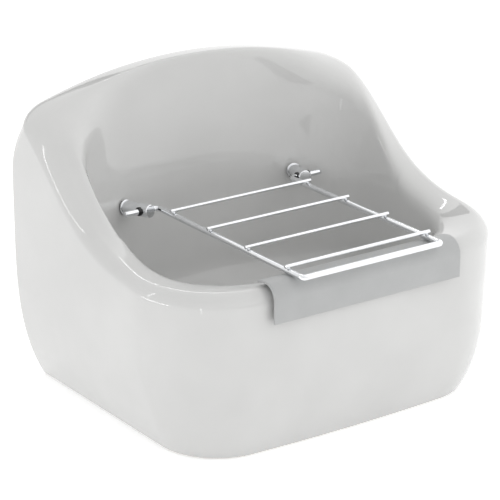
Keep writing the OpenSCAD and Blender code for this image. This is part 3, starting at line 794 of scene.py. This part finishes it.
def rodPath():
    # half of the bent rod's centre line, from the pin's outer end to the middle of the front bar
    g = gridForm
    y0, z = pinPoint.y, pinPoint.z
    cham = g["endChamfer"]
    out = [((rodHigh.x, y0, z), 1 - cham / rodRadius), ((rodHigh.x - cham, y0, z), 1.0)]
    for x in np.linspace(rodHigh.x - 4, sideX + g["bend"] + 1, 8):
        out.append(((x, y0, z), 1.0))
    for t in np.linspace(90, 180, 13):
        a = math.radians(t)
        out.append(((sideX + g["bend"] + g["bend"] * math.cos(a),
                     y0 - g["bend"] + g["bend"] * math.sin(a), z), 1.0))
    for y in np.linspace(y0 - g["bend"] - 3, barY + g["corner"] + 2, 24):
        out.append(((sideX, y, z), 1.0))
    for t in np.linspace(0, -90, 9):
        a = math.radians(t)
        out.append(((sideX - g["corner"] + g["corner"] * math.cos(a),
                     barY + g["corner"] + g["corner"] * math.sin(a), z), 1.0))
    for x in np.linspace(sideX - g["corner"] - 3, 0, 12):
        out.append(((x, barY, z), 1.0))
    return out


half = rodPath()
full = half + [((-p[0], p[1], p[2]), s) for p, s in half[-2::-1]]
rods = rodTree()
gridFrame = runTree(rods, "gridFrame", curveThrough("gridPath", [Vector(p) * mm for p, s in full],
                                                    [s for p, s in full]),
                    {"Rod Radius": rodRadius * mm, "Sides": gridForm["sides"], "Material": chrome}, 50)
settle(gridFrame, "grid", "chrome", "grid_frame")


def crossTree():
    tree, source, sink = newTree("crossRods", [
        ("Rod Radius", "NodeSocketFloat"), ("Half Length", "NodeSocketFloat"), ("Chamfer", "NodeSocketFloat"),
        ("Count", "NodeSocketInt"), ("Pitch", "NodeSocketFloat"), ("First", "NodeSocketVector"),
        ("Material", "NodeSocketMaterial")])
    step = addNode(tree, "ShaderNodeCombineXYZ")
    back = addNode(tree, "ShaderNodeMath", {0: (source, "Pitch")}, {1: -1.0}, operation="MULTIPLY")
    tree.links.new(back.outputs[0], step.inputs["Y"])
    places = addNode(tree, "GeometryNodeMeshLine",
                     {"Count": (source, "Count"), "Start Location": (source, "First"), "Offset": (step, 0)},
                     mode="OFFSET")
    twice = addNode(tree, "ShaderNodeMath", {0: (source, "Half Length")}, {1: 2.0}, operation="MULTIPLY")
    less = addNode(tree, "ShaderNodeMath", {0: (source, "Chamfer")}, {1: 2.0}, operation="MULTIPLY")
    body = addNode(tree, "ShaderNodeMath", {0: (twice, 0), 1: (less, 0)}, operation="SUBTRACT")
    thin = addNode(tree, "ShaderNodeMath", {0: (source, "Rod Radius"), 1: (source, "Chamfer")},
                   operation="SUBTRACT")
    barrel = addNode(tree, "GeometryNodeMeshCylinder", {"Radius": (source, "Rod Radius"), "Depth": (body, 0)},
                     {"Vertices": 32, "Side Segments": 40}, fill_type="NONE")
    ends = []
    for way in (1, -1):
        mid = addNode(tree, "ShaderNodeMath", {0: (body, 0)}, {1: 0.5 * way}, operation="MULTIPLY")
        shift = addNode(tree, "ShaderNodeMath", {0: (source, "Chamfer")}, {1: 0.5 * way},
                        operation="MULTIPLY")
        spot = addNode(tree, "ShaderNodeMath", {0: (mid, 0), 1: (shift, 0)}, operation="ADD")
        where = addNode(tree, "ShaderNodeCombineXYZ", {"Z": (spot, 0)})
        names = ("Radius Top", "Radius Bottom") if way > 0 else ("Radius Bottom", "Radius Top")
        cone = addNode(tree, "GeometryNodeMeshCone",
                       {names[0]: (thin, 0), names[1]: (source, "Rod Radius"), "Depth": (source, "Chamfer")},
                       {"Vertices": 32}, fill_type="NGON")
        low = addNode(tree, "GeometryNodeTransform", {"Geometry": (cone, "Mesh"), "Translation": (where, 0)})
        half = addNode(tree, "ShaderNodeMath", {0: (source, "Chamfer")}, {1: -0.5}, operation="MULTIPLY")
        fix = addNode(tree, "ShaderNodeCombineXYZ", {"Z": (half, 0)})
        ends.append(addNode(tree, "GeometryNodeTransform", {"Geometry": (low, 0), "Translation": (fix, 0)}))
    joined = addNode(tree, "GeometryNodeJoinGeometry")
    for part in [barrel] + ends:
        tree.links.new(part.outputs[0], joined.inputs[0])
    laid = addNode(tree, "GeometryNodeTransform", {"Geometry": (joined, 0)},
                   {"Rotation": (0, math.pi / 2, 0)})
    rowOf = addNode(tree, "GeometryNodeInstanceOnPoints", {"Points": (places, 0), "Instance": (laid, 0)})
    endTree(tree, rowOf, 0, source, sink)
    return tree


pitch = firstRod[0].y - secondRod[0].y
firstSpot = (firstRod[0] + firstRod[1]) / 2
crossRods = runTree(crossTree(), "crossRods", bpy.data.meshes.new("crossHost"), {
    "Rod Radius": crossRadius * mm, "Half Length": crossHalf * mm, "Chamfer": 0.4 * mm, "Count": 4,
    "Pitch": pitch * mm, "First": firstSpot * mm, "Material": chrome}, 50)
settle(crossRods, "grid", "chrome", "grid_rod_1", "grid_rod_2", "grid_rod_3", "grid_rod_4")


def weldTree():
    tree, source, sink = newTree("weldNuggets", [
        ("Wide", "NodeSocketFloat"), ("High", "NodeSocketFloat"), ("Count", "NodeSocketInt"),
        ("Pitch", "NodeSocketFloat"), ("First", "NodeSocketVector"), ("Across", "NodeSocketFloat"),
        ("Material", "NodeSocketMaterial")])
    back = addNode(tree, "ShaderNodeMath", {0: (source, "Pitch")}, {1: -1.0}, operation="MULTIPLY")
    step = addNode(tree, "ShaderNodeCombineXYZ", {"Y": (back, 0)})
    line = addNode(tree, "GeometryNodeMeshLine",
                   {"Count": (source, "Count"), "Start Location": (source, "First"), "Offset": (step, 0)},
                   mode="OFFSET")
    both = addNode(tree, "GeometryNodeJoinGeometry")
    for way in (1, -1):
        away = addNode(tree, "ShaderNodeMath", {0: (source, "Across")}, {1: float(way)}, operation="MULTIPLY")
        move = addNode(tree, "ShaderNodeCombineXYZ", {"X": (away, 0)})
        moved = addNode(tree, "GeometryNodeTransform", {"Geometry": (line, 0), "Translation": (move, 0)})
        tree.links.new(moved.outputs[0], both.inputs[0])
    bead = addNode(tree, "GeometryNodeMeshUVSphere", values={"Segments": 20, "Rings": 12, "Radius": 1.0})
    shape = addNode(tree, "ShaderNodeCombineXYZ", {"X": (source, "Wide"), "Y": (source, "Wide"),
                                                  "Z": (source, "High")})
    flat = addNode(tree, "GeometryNodeTransform", {"Geometry": (bead, 0), "Scale": (shape, 0)})
    laid = addNode(tree, "GeometryNodeInstanceOnPoints", {"Points": (both, 0), "Instance": (flat, 0)})
    endTree(tree, laid, 0, source, sink)
    return tree


weldZ = (pinPoint.z + rodRadius + firstRod[0].z) / 2
welds = runTree(weldTree(), "weldNuggets", bpy.data.meshes.new("weldHost"), {
    "Wide": gridForm["weldWide"] * mm, "High": gridForm["weldHigh"] * mm, "Count": 4, "Pitch": pitch * mm,
    "First": (0, firstSpot.y * mm, weldZ * mm), "Across": sideX * mm, "Material": chrome})
settle(welds, "grid", "chrome")
print("grid made")


# the hinge posts and what holds them
postForm = {"diameter": 16, "chamfer": 0.8, "collar": 12, "ringOver": 1.2, "bore": 8.2, "boreDeep": 14.5,
            "bushWall": 1.6, "bushRoom": 0.1, "pinReach": 16, "boreTip": 2, "pinHoleEdge": 0.2}
names = {-1: "left", 1: "right"}


def millimetres(profile):
    return [(r * mm, z * mm) for r, z in profile]


def alongPost(node, place):
    # the part's first and last place along the post and its radius, in millimetres
    local = [place.inverted() @ v.co for v in frame["nodes"][node].data.vertices]
    return (min(v.z for v in local) / mm, max(v.z for v in local) / mm,
            max(math.hypot(v.x, v.y) for v in local) / mm)


def makePost(side):
    f, l = postFit, postForm
    place = postPlace(side)
    back = alongPost("hinge_post_" + names[side], place)[0]
    ringZ = back + f["ringThick"]
    r = l["diameter"] / 2
    profile = rounded([(0, f["front"], 0), (r - l["chamfer"], f["front"], 0.25),
                       (r, f["front"] - l["chamfer"], 0.25),
                       (r, ringZ, 0.2), (l["collar"] / 2, ringZ, 0), (l["collar"] / 2, back, 0.2),
                       (l["bore"] / 2, back, 0.2), (l["bore"] / 2, back + l["boreDeep"], 0),
                       (0, back + l["boreDeep"] + l["boreTip"], 0)], 0.2)
    post = turned("hingePost" + names[side].title(), millimetres(profile), place, [chrome], 96)
    low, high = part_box("hinge_bush_" + names[side])
    bushRadius = (high.z - low.z) / 2 / mm
    middle = (low + high) / 2
    across = Matrix.Translation(middle) @ Matrix.Rotation(math.pi / 2, 4, "Y")
    length = (high.x - low.x) / 2 / mm
    reach, room = l["pinReach"], bushRadius + l["bushRoom"]
    drill = [(0, -reach), (room, -reach), (room, reach), (0, reach)]
    cutWith(post, turned("pinCut", millimetres(drill), across, [chrome], 64))
    edge = post.modifiers.new("edge", "BEVEL")
    edge.width = l["pinHoleEdge"] * mm
    edge.segments = 2
    edge.limit_method = "ANGLE"
    edge.angle_limit = math.radians(38)
    applyAll(post, 38)
    settle(post, "sink", "chrome", "hinge_post_" + names[side])
    inner = bushRadius - l["bushWall"]
    sleeve = rounded([(inner, -length), (bushRadius, -length), (bushRadius, length), (inner, length)], 0.35)
    bush = turned("hingeBush" + names[side].title(), millimetres(sleeve), across, [blackNylon], 64)
    settle(bush, "sink", "black_plastic", "hinge_bush_" + names[side])
    ringR = r + l["ringOver"]
    ring = rounded([(l["collar"] / 2 + 0.1, back), (ringR, back, 0.5), (ringR, ringZ - 0.1, 0.9),
                    (l["collar"] / 2 + 0.1, ringZ - 0.1)], 0.2, 6)
    base = turned("postRing" + names[side].title(), millimetres(ring), place, [chrome], 96)
    settle(base, "sink", "chrome", "post_ring_" + names[side])


threadForm = {"studPitch": 1.25, "studDepth": 0.65, "tailPitch": 2.31, "tailDepth": 1.2}


def threaded(radius, start, end, pitchOf, depth):
    # the outside of a threaded length as ridges, from start to end
    count = max(1, int(round(abs(end - start) / pitchOf)))
    stepOf = (end - start) / count
    out = []
    for k in range(count):
        z = start + k * stepOf
        out += [(radius - depth, z), (radius, z + 0.4 * stepOf), (radius, z + 0.55 * stepOf)]
    return out + [(radius - depth, end)]


def makeStud(side):
    place = postPlace(side)
    z0, z1, r = alongPost("post_stud_" + names[side], place)
    t = threadForm
    outside = threaded(r, z1 - 0.8, z0 + 0.8, t["studPitch"], t["studDepth"])
    profile = [(0, z1), (r - 1.0, z1)] + outside + [(r - 1.0, z0), (0, z0)]
    made = turned("postStud" + names[side].title(), millimetres(profile), place, [zinc], 40)
    settle(made, "sink", "zinc_steel", "post_stud_" + names[side])


for side in (-1, 1):
    makePost(side)
    makeStud(side)
    word = names[side]
    softened("post_gasket_" + word, "postGasket" + word.title(), sealRubber, 0.25 * mm, slot="seal_rubber")
    softened("rear_gasket_" + word, "rearGasket" + word.title(), sealRubber, 0.5 * mm, slot="seal_rubber")
    softened("rear_washer_" + word, "rearWasher" + word.title(), zinc, 0.3 * mm, slot="zinc_steel")
    softened("rear_nut_" + word, "rearNut" + word.title(), zinc, 0.6 * mm, slot="zinc_steel", segments=3)
print("posts made")


# the waste
wasteForm = {"thread": 47.8, "threadWall": 2.6, "outletWall": 2.3, "outlet": 43, "outletLong": 20,
             "flangeSlope": 3, "flangeThick": 4, "wellDeep": 3, "rimWide": 6, "plate": 2, "holeSize": 5,
             "rings": [(6, 9), (12, 16.5), (18, 23.5)], "screw": 5, "headHigh": 2.5,
             "screwPitch": 0.8, "screwDepth": 0.4, "slot": (20, 1.4, 2.4), "holeEdge": 0.35}


def makeWaste():
    low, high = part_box("waste_body")
    z0, z1 = low.z / mm, high.z / mm
    w, t = wasteForm, threadForm
    flangeR = (high.x - low.x) / 2 / mm
    flangeZ = z1 - w["flangeThick"]
    outR, thR = w["outlet"] / 2, w["thread"] / 2
    top = z0 + w["outletLong"]
    lead = thR - outR
    wellR = flangeR - w["rimWide"]
    bore, small = thR - w["threadWall"], outR - w["outletWall"]
    outside = threaded(thR, top + lead, flangeZ - 4, t["tailPitch"], t["tailDepth"])
    profile = [(small, z0 + 0.4), (small + 0.4, z0), (outR - 0.6, z0), (outR, z0 + 0.6), (outR, top)]
    profile += outside + [(thR, flangeZ - 3.4), (thR, flangeZ), (flangeR - 0.8, flangeZ),
                          (flangeR, flangeZ + 0.7)]
    profile += [(flangeR - 0.25, flangeZ + 1.4), (flangeR - w["flangeSlope"] + 0.4, z1 - 0.35),
                (flangeR - w["flangeSlope"] - 0.5, z1), (wellR + 0.5, z1), (wellR, z1 - 0.5),
                (wellR, z1 - w["wellDeep"]), (bore, z1 - w["wellDeep"]), (bore, top + 3), (small, top + 3)]
    place = Matrix.Translation((0, wasteY, 0))
    made = turned("wasteBody", millimetres(profile), place, [stainless], 96, 32)
    settle(made, "sink", "stainless_steel", "waste_body")


def strainerTree():
    tree, source, sink = newTree("strainerPlate", [
        ("Plate Radius", "NodeSocketFloat"), ("Thick", "NodeSocketFloat"), ("Hole Radius", "NodeSocketFloat"),
        ("Middle Radius", "NodeSocketFloat"), ("Material", "NodeSocketMaterial")])
    plate = addNode(tree, "GeometryNodeMeshCylinder",
                    {"Radius": (source, "Plate Radius"), "Depth": (source, "Thick")}, {"Vertices": 96})
    drill = addNode(tree, "GeometryNodeMeshCylinder", {"Radius": (source, "Hole Radius")},
                    {"Vertices": 24, "Depth": 0.01})
    middle = addNode(tree, "GeometryNodeMeshCylinder", {"Radius": (source, "Middle Radius")},
                     {"Vertices": 24, "Depth": 0.01})
    holes = addNode(tree, "GeometryNodeJoinGeometry")
    for count, away in wasteForm["rings"]:
        spots = addNode(tree, "GeometryNodeMeshCircle", values={"Vertices": count, "Radius": away * mm})
        some = addNode(tree, "GeometryNodeInstanceOnPoints", {"Points": (spots, 0), "Instance": (drill, 0)})
        real = addNode(tree, "GeometryNodeRealizeInstances", {"Geometry": (some, 0)})
        tree.links.new(real.outputs[0], holes.inputs[0])
    tree.links.new(middle.outputs[0], holes.inputs[0])
    cut = addNode(tree, "GeometryNodeMeshBoolean", {"Mesh 1": (plate, 0), "Mesh 2": (holes, 0)},
                  operation="DIFFERENCE")
    endTree(tree, cut, 0, source, sink)
    return tree


def makeStrainer():
    low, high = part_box("waste_strainer")
    radius = (high.x - low.x) / 2
    plate = runTree(strainerTree(), "wasteStrainer", bpy.data.meshes.new("strainerHost"), {
        "Plate Radius": radius, "Thick": high.z - low.z, "Hole Radius": wasteForm["holeSize"] / 2 * mm,
        "Middle Radius": (wasteForm["screw"] / 2 + 0.1) * mm, "Material": stainless})
    finishShell(plate, Matrix.Translation((0, wasteY, (low.z + high.z) / 2)))
    edge = plate.modifiers.new("edge", "BEVEL")
    edge.width = wasteForm["holeEdge"] * mm
    edge.segments = 2
    edge.limit_method = "ANGLE"
    edge.angle_limit = math.radians(50)
    applyAll(plate, 35)
    settle(plate, "sink", "stainless_steel", "waste_strainer")
    sLow, sHigh = [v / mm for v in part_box("strainer_screw")]
    w = wasteForm
    headZ = sHigh.z - w["headHigh"]
    shank = threaded(w["screw"] / 2, headZ - 1, sLow.z + 0.6, w["screwPitch"], w["screwDepth"])
    profile = [(0, sHigh.z), (2.4, sHigh.z - 0.05), (3.4, sHigh.z - 0.5), (4.6, headZ + 0.9), (5, headZ + 0.3),
               (4.9, headZ), (2.5, headZ)] + shank + [(1.9, sLow.z), (0, sLow.z)]
    place = Matrix.Translation((0, wasteY, 0))
    screw = turned("strainerScrew", millimetres(profile), place, [stainless], 48)
    slot = bmesh.new()
    bmesh.ops.create_cube(slot, size=1.0, matrix=Matrix.Translation((0, wasteY, sHigh.z * mm))
                          @ Matrix.Diagonal((*[v * mm for v in w["slot"]], 1)))
    mesh = bpy.data.meshes.new("slotCut")
    slot.to_mesh(mesh)
    slot.free()
    cutter = bpy.data.objects.new("slotCut", mesh)
    bpy.context.scene.collection.objects.link(cutter)
    cutWith(screw, cutter)
    settle(screw, "sink", "stainless_steel", "strainer_screw")


makeWaste()
makeStrainer()
softened("top_seal", "topSeal", sealRubber, 0.6 * mm, slot="seal_rubber")
softened("under_seal", "underSeal", sealRubber, 1.0 * mm, slot="seal_rubber")
softened("waste_backnut", "wasteBacknut", brass, 0.8 * mm, slot="brass", segments=3)
print("waste made")


# floor, light and camera
studio = {"floorSize": 16, "floorDrop": 0.3, "floorGlow": 0.32, "skyLeft": 0.84, "skyRight": 1.5,
          "target": (-0.0926, -0.2733, 0.0751), "azimuth": -35.16, "elevation": 19.96,
          "distance": 2.5945, "lens": 167.35, "sensor": 36, "clip": (0.05, 50),
          "fill": {"place": (-100, -4, 2.6), "aim": (0, -0.2, -0.05), "size": (1.6, 0.35), "power": 17},
          "middle": (0, -0.2, 0), "glintAim": (0, -0.2, 0.1), "cardRadius": 3.4, "cardStep": 6,
          "cards": [(136, 200, 27, 35), (-12, 24, 3, 9)],
          "glints": [("rearGlint", 150, 43, 3.0, (0.8, 0.08), 11),
                     ("leftGlint", -108, 24, 2.4, (0.06, 1.4), 9),
                     ("cornerGlint", -50, 0, 0.75, (0.012, 0.25), 7)]}


def makeFloor():
    made, tree, place, shader = newMaterial("paleStudioFloor")
    tone = noiseAt(tree, place, 1.5, 2.0)
    wire(tree, blendOf(tree, tone, linear("#f4f4f4"), linear("#f7f7f7")), "Color", shader, "Base Color")
    shader.inputs["Roughness"].default_value = 0.9
    shader.inputs["Emission Color"].default_value = (1, 1, 1, 1)
    shader.inputs["Emission Strength"].default_value = studio["floorGlow"]
    size = studio["floorSize"] / 2
    z = (baseZ - studio["floorDrop"]) * mm
    corners = [(-size, -size, z), (size, -size, z), (size, size, z), (-size, size, z)]
    floor = pieceFrom("studioFloor", corners, [(0, 1, 2, 3)], [made])


def addLight(name, spot, aim, size, power):
    lamp = bpy.data.lights.new(name, "AREA")
    lamp.shape = "RECTANGLE"
    lamp.size, lamp.size_y = size
    lamp.energy = power
    made = bpy.data.objects.new(name, lamp)
    made.location = spot
    made.rotation_mode = "QUATERNION"
    made.rotation_quaternion = (Vector(aim) - Vector(spot)).to_track_quat("-Z", "Y")
    bpy.context.scene.collection.objects.link(made)


def lightSpot(azimuth, elevation, distance):
    a, e = math.radians(azimuth), math.radians(elevation)
    away = Vector((math.sin(a) * math.cos(e), -math.cos(a) * math.cos(e), math.sin(e)))
    return tuple(away * distance + Vector(studio["middle"]))


def reflectedOnly(made):
    # seen only in reflections, so it draws highlights and dark lines without changing the soft light
    made.visible_camera = False
    made.visible_diffuse = False
    made.visible_shadow = False
    made.visible_transmission = False


def glintCard(name, azimuth, elevation, distance, size, glow):
    made, tree, place, shader = newMaterial(name)
    shader.inputs["Base Color"].default_value = (0, 0, 0, 1)
    shader.inputs["Emission Color"].default_value = (1, 1, 1, 1)
    shader.inputs["Emission Strength"].default_value = glow
    spot = Vector(lightSpot(azimuth, elevation, distance))
    aim = Vector(studio["glintAim"]) - spot
    turn = aim.to_track_quat("-Z", "Y").to_matrix()
    w, h = size[0] / 2, size[1] / 2
    points = [spot + turn @ Vector(c) for c in ((-w, -h, 0), (w, -h, 0), (w, h, 0), (-w, h, 0))]
    reflectedOnly(pieceFrom(name, points, [(0, 1, 2, 3)], [made]))


def darkCards():
    # black cards round the set, seen only in reflections: they draw the dark lines along chrome
    made, tree, place, shader = newMaterial("blackStudioCard")
    shade = noiseAt(tree, place, 1.0, 2.0)
    wire(tree, blendOf(tree, shade, linear("#080808"), linear("#101010")), "Color", shader, "Base Color")
    shader.inputs["Roughness"].default_value = 1.0
    shader.inputs["Specular IOR Level"].default_value = 0.0
    points, faces = [], []
    far = studio["cardRadius"]
    for first, last, low, high in studio["cards"]:
        steps = max(2, int((last - first) / studio["cardStep"]))
        start = len(points)
        for k in range(steps + 1):
            a = math.radians(first + (last - first) * k / steps)
            for h in (low, high):
                points.append((far * math.sin(a), -far * math.cos(a), far * math.tan(math.radians(h))))
        for k in range(steps):
            one = start + 2 * k
            faces.append((one, one + 1, one + 3, one + 2))
    reflectedOnly(pieceFrom("blackCards", points, faces, [made]))


def makeStudio():
    scene = bpy.context.scene
    scene.view_settings.view_transform = "Standard"
    world = bpy.data.worlds.new("softStudio")
    world.use_nodes = True
    tree = world.node_tree
    sky = tree.nodes["Background"]
    sky.inputs["Color"].default_value = (1, 1, 1, 1)
    way = addNode(tree, "ShaderNodeTexCoord")
    part = addNode(tree, "ShaderNodeSeparateXYZ", {"Vector": (way, "Generated")})
    level = addNode(tree, "ShaderNodeMapRange", {"Value": (part, "X")},
                    {"From Min": -1.0, "From Max": 1.0, "To Min": studio["skyLeft"],
                     "To Max": studio["skyRight"]})
    wire(tree, level, "Result", sky, "Strength")
    scene.world = world
    fill = studio["fill"]
    addLight("lowLeftFill", lightSpot(*fill["place"]), fill["aim"], fill["size"], fill["power"])
    for name, azimuth, elevation, distance, size, glow in studio["glints"]:
        glintCard(name, azimuth, elevation, distance, size, glow)
    darkCards()
    camera = bpy.data.objects.new("camera", bpy.data.cameras.new("camera"))
    a, e = math.radians(studio["azimuth"]), math.radians(studio["elevation"])
    back = Vector((math.sin(a) * math.cos(e), -math.cos(a) * math.cos(e), math.sin(e)))
    camera.location = Vector(studio["target"]) + back * studio["distance"]
    camera.rotation_mode = "QUATERNION"
    camera.rotation_quaternion = (-back).to_track_quat("-Z", "Y")
    camera.data.lens = studio["lens"]
    camera.data.sensor_width = studio["sensor"]
    camera.data.clip_start, camera.data.clip_end = studio["clip"]
    scene.collection.objects.link(camera)
    scene.camera = camera


makeFloor()
makeStudio()
